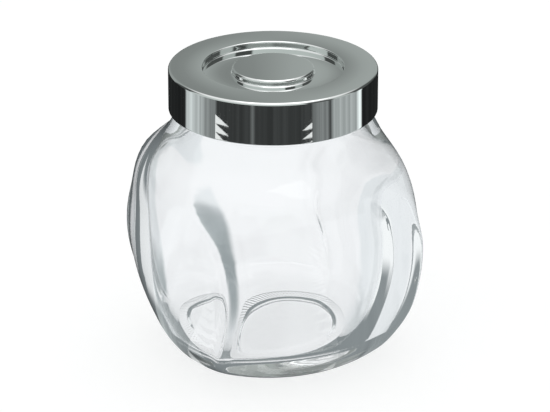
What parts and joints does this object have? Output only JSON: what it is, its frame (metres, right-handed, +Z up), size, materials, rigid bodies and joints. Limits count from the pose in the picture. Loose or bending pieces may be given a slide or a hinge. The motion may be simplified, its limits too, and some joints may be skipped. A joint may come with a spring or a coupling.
{
  "type": "spice jar",
  "caption": "Small glass jar with a leaning four-cornered globe body and a chromed push-on lid with a round finger recess and knob.",
  "frame": {"origin": "centre of the base, on the surface that the jar stands on", "axes": "+Z up along the jar's axis, out of its mouth; the jar is seen from -Y in the picture, with +X to the right"},
  "size_m": [0.0708, 0.0708, 0.0727],
  "materials": {
    "clear_glass": "clear, polished",
    "bright_chrome": "bright chrome plating on plastic",
    "pale_plastic": "milky, slightly see-through",
    "soft_seal": "soft, satin"
  },
  "bodies": {
    "jar": {"jar_body": "clear_glass"},
    "seal": {"seal_ring": "soft_seal"},
    "lid": {"lid_cover": "bright_chrome", "lid_plug": "pale_plastic"}
  },
  "joints": [
    {"name": "lid_lift", "type": "slide", "parent": "jar", "child": "seal", "axis": [0, 0, 1], "range_m": [0, 0.035]},
    {"name": "lid_turn", "type": "hinge", "parent": "seal", "child": "lid", "pos_m": [0, 0, 0.0727], "axis": [0, 0, 1], "continuous": true}
  ]
}
